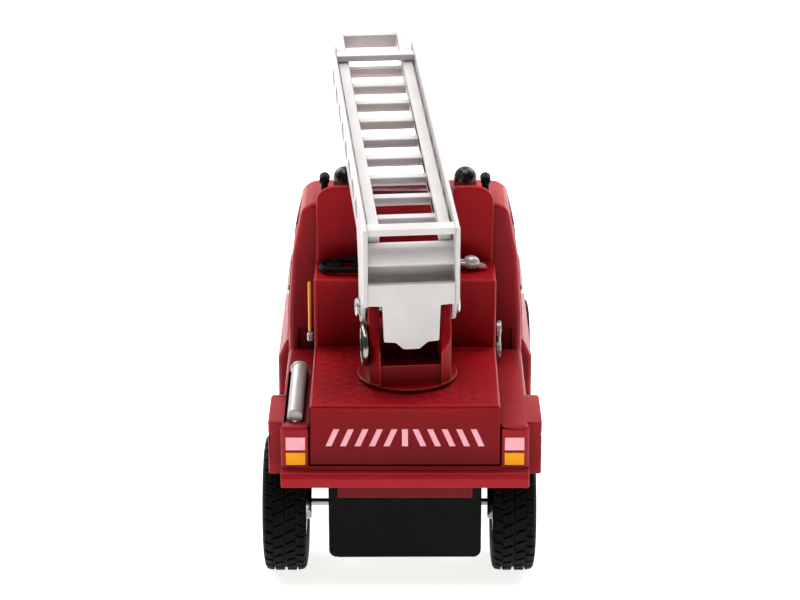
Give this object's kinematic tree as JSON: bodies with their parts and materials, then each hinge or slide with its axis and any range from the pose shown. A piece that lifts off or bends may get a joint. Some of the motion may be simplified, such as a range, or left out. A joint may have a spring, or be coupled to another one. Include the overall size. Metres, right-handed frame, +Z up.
{
  "type": "toy fire engine",
  "caption": "Toy ladder fire engine with a turning, raising and sliding ladder, tread deck, equipment box, rolling wheels and a pull-back motor in its black base.",
  "frame": {"origin": "centre of the bounding box's bottom, where the tyres stand", "axes": "+Z up, front towards -Y, the vehicle's left towards +X"},
  "size_m": [0.061, 0.128, 0.0955],
  "materials": {
    "red_paint": "gloss",
    "red_plastic": "satin gloss",
    "white_plastic": "satin",
    "black_plastic": "satin",
    "grey_plastic": "matte",
    "yellow_plastic": "gloss",
    "silver_plastic": "silver lacquer",
    "dark_lens": "gloss, near-black red",
    "clear_lens": "gloss",
    "tinted_glazing": "gloss",
    "chrome_trim": "bright",
    "steel": "satin",
    "gear_brass": "satin",
    "tyre_rubber": "matte"
  },
  "bodies": {
    "truck": {"rear_body": "red_paint", "deck_insert": "red_plastic", "cab_body": "red_paint", "cab_glazing": "tinted_glazing", "cab_interior": "grey_plastic", "steering_wheel": "black_plastic", "grille": "chrome_trim", "front_bumper": "silver_plastic", "headlight_left": "clear_lens", "headlight_right": "clear_lens", "beacon_lens_left": "dark_lens", "beacon_lens_right": "dark_lens", "beacon_reflector_left": "silver_plastic", "beacon_reflector_right": "silver_plastic", "spot_lamp_left": "black_plastic", "spot_lamp_right": "black_plastic", "roof_lamp_bar": "dark_lens", "chassis_base": "black_plastic", "base_screw_rear": "steel", "base_screw_front": "steel", "motor_case_lower": "grey_plastic", "motor_case_upper": "grey_plastic", "mainspring": "steel", "suction_tube": "silver_plastic", "hose_loop": "black_plastic", "hose_reel": "black_plastic", "hose_valve": "black_plastic", "branch_nozzle": "silver_plastic", "outlet_couplings": "silver_plastic", "pike_pole": "yellow_plastic", "pole_clip": "silver_plastic"},
    "rear_axle_set": {"rear_axle": "steel", "rear_left_wheel": "chrome_trim", "rear_left_tyre": "tyre_rubber", "rear_right_wheel": "chrome_trim", "rear_right_tyre": "tyre_rubber", "motor_pinion": "gear_brass"},
    "front_axle_set": {"front_axle": "steel", "front_left_wheel": "chrome_trim", "front_left_tyre": "tyre_rubber", "front_right_wheel": "chrome_trim", "front_right_tyre": "tyre_rubber"},
    "spring_drive": {"spring_gear": "gear_brass", "spring_shaft": "steel"},
    "turret_assembly": {"turret": "red_plastic", "turret_washer": "steel", "turret_screw": "steel", "ladder_pivot_pin": "steel"},
    "elevation_handwheel": {"elevation_wheel": "black_plastic", "elevation_wheel_rim": "chrome_trim"},
    "base_ladder": {"ladder_base": "white_plastic"},
    "extension_ladder": {"ladder_extension": "white_plastic"}
  },
  "joints": [
    {"name": "rear_axle_spin", "type": "hinge", "parent": "truck", "child": "rear_axle_set", "pos_m": [0.0012, 0.047, 0.01485], "axis": [1, 0, 0], "continuous": true},
    {"name": "front_axle_spin", "type": "hinge", "parent": "truck", "child": "front_axle_set", "pos_m": [-0.0012, -0.037, 0.01485], "axis": [1, 0, 0], "continuous": true},
    {"name": "spring_gear_spin", "type": "hinge", "parent": "truck", "child": "spring_drive", "pos_m": [0, 0.03809, 0.01905], "axis": [1, 0, 0], "continuous": true},
    {"name": "turret_turn", "type": "hinge", "parent": "truck", "child": "turret_assembly", "pos_m": [-0.0005, 0.0448, 0.044], "axis": [0, 0, 1], "continuous": true},
    {"name": "elevation_wheel_spin", "type": "hinge", "parent": "turret_assembly", "child": "elevation_handwheel", "pos_m": [-0.00093, 0.04918, 0.0529], "axis": [0.9952, 0.0976, 0], "continuous": true},
    {"name": "ladder_raise", "type": "hinge", "parent": "turret_assembly", "child": "base_ladder", "pos_m": [-0.0005, 0.0448, 0.0598], "axis": [-0.9952, -0.0976, 0], "range_deg": [0, 45]},
    {"name": "ladder_extend", "type": "slide", "parent": "base_ladder", "child": "extension_ladder", "axis": [0.0963, -0.9821, 0.1618], "range_m": [0, 0.06]}
  ],
  "couplings": [
    {"joint": "spring_gear_spin", "follows": "rear_axle_spin", "ratio": -0.5}
  ]
}
